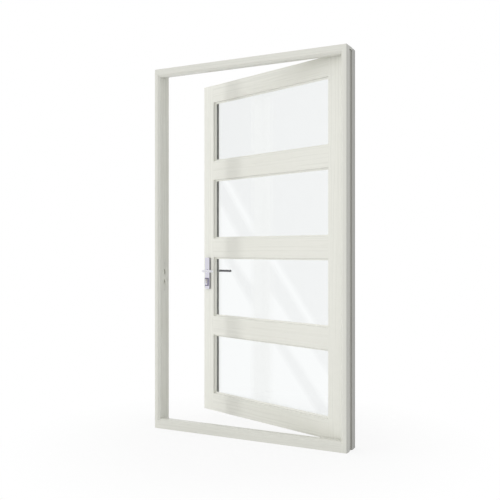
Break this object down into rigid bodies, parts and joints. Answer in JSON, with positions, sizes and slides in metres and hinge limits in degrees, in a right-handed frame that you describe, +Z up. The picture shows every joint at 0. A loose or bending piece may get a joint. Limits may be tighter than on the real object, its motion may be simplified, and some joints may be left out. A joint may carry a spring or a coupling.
{
  "type": "front door",
  "caption": "Glazed front door in a painted timber frame: a leaf of stiles, rails and wide panes that opens inwards on side hinges, with a lever handle and lock plate on each face.",
  "frame": {"origin": "middle of the sill's flat underside, halfway across the frame and halfway through its main depth", "axes": "+Z up, +Y inwards through the doorway from the street side, +X along the wall from the lock jamb to the hinge jamb"},
  "size_m": [1.36, 0.6065, 2.392],
  "materials": {
    "painted_timber": "satin off-white paint",
    "window_glass": "clear float glass",
    "spacer_bar": "matt light grey warm-edge bar",
    "black_rubber": "extruded rubber",
    "seal_rubber": "extruded pale rubber",
    "satin_steel": "satin brushed stainless steel",
    "hinge_steel": "satin zinc-plated steel",
    "guard_steel": "hardened steel, dark satin",
    "nickel_brass": "nickel-plated brass",
    "lever_metal": "polished stainless steel",
    "dark_furniture": "dark satin coat on cast metal"
  },
  "bodies": {
    "frame": {"lock_jamb": "painted_timber", "hinge_jamb": "painted_timber", "frame_head": "painted_timber", "frame_sill": "painted_timber", "frame_seal": "seal_rubber", "strike_plate": "satin_steel", "frame_hinge_lower": "hinge_steel", "frame_hinge_middle": "hinge_steel", "frame_hinge_upper": "hinge_steel"},
    "leaf": {"lock_stile": "painted_timber", "hinge_stile": "painted_timber", "top_rail": "painted_timber", "upper_rail": "painted_timber", "middle_rail": "painted_timber", "lower_rail": "painted_timber", "bottom_rail": "painted_timber", "bead_1": "painted_timber", "bead_2": "painted_timber", "bead_3": "painted_timber", "bead_4": "painted_timber", "glass_1": "window_glass", "spacer_1": "spacer_bar", "gasket_1": "black_rubber", "glass_2": "window_glass", "spacer_2": "spacer_bar", "gasket_2": "black_rubber", "glass_3": "window_glass", "spacer_3": "spacer_bar", "gasket_3": "black_rubber", "glass_4": "window_glass", "spacer_4": "spacer_bar", "gasket_4": "black_rubber", "leaf_hinge_lower": "hinge_steel", "leaf_hinge_middle": "hinge_steel", "leaf_hinge_upper": "hinge_steel", "outside_plate": "satin_steel", "lock_faceplate": "satin_steel", "latch_bolt": "satin_steel", "dead_bolt": "satin_steel", "inside_plate": "dark_furniture", "cylinder_guard": "guard_steel", "cylinder": "nickel_brass"},
    "levers": {"outside_lever": "lever_metal", "inside_lever": "dark_furniture"}
  },
  "joints": [
    {"name": "leaf_swing", "type": "hinge", "parent": "frame", "child": "leaf", "pos_m": [0.6515, 0.073, 1.2], "axis": [0, 0, -1], "range_deg": [-20, 70]},
    {"name": "lever_turn", "type": "hinge", "parent": "leaf", "child": "levers", "pos_m": [-0.55402, 0.42877, 1.036], "axis": [0.342, 0.9397, 0], "range_deg": [0, 40], "stiffness_Nm_per_rad": 1.5, "springref_deg": -28.65}
  ]
}
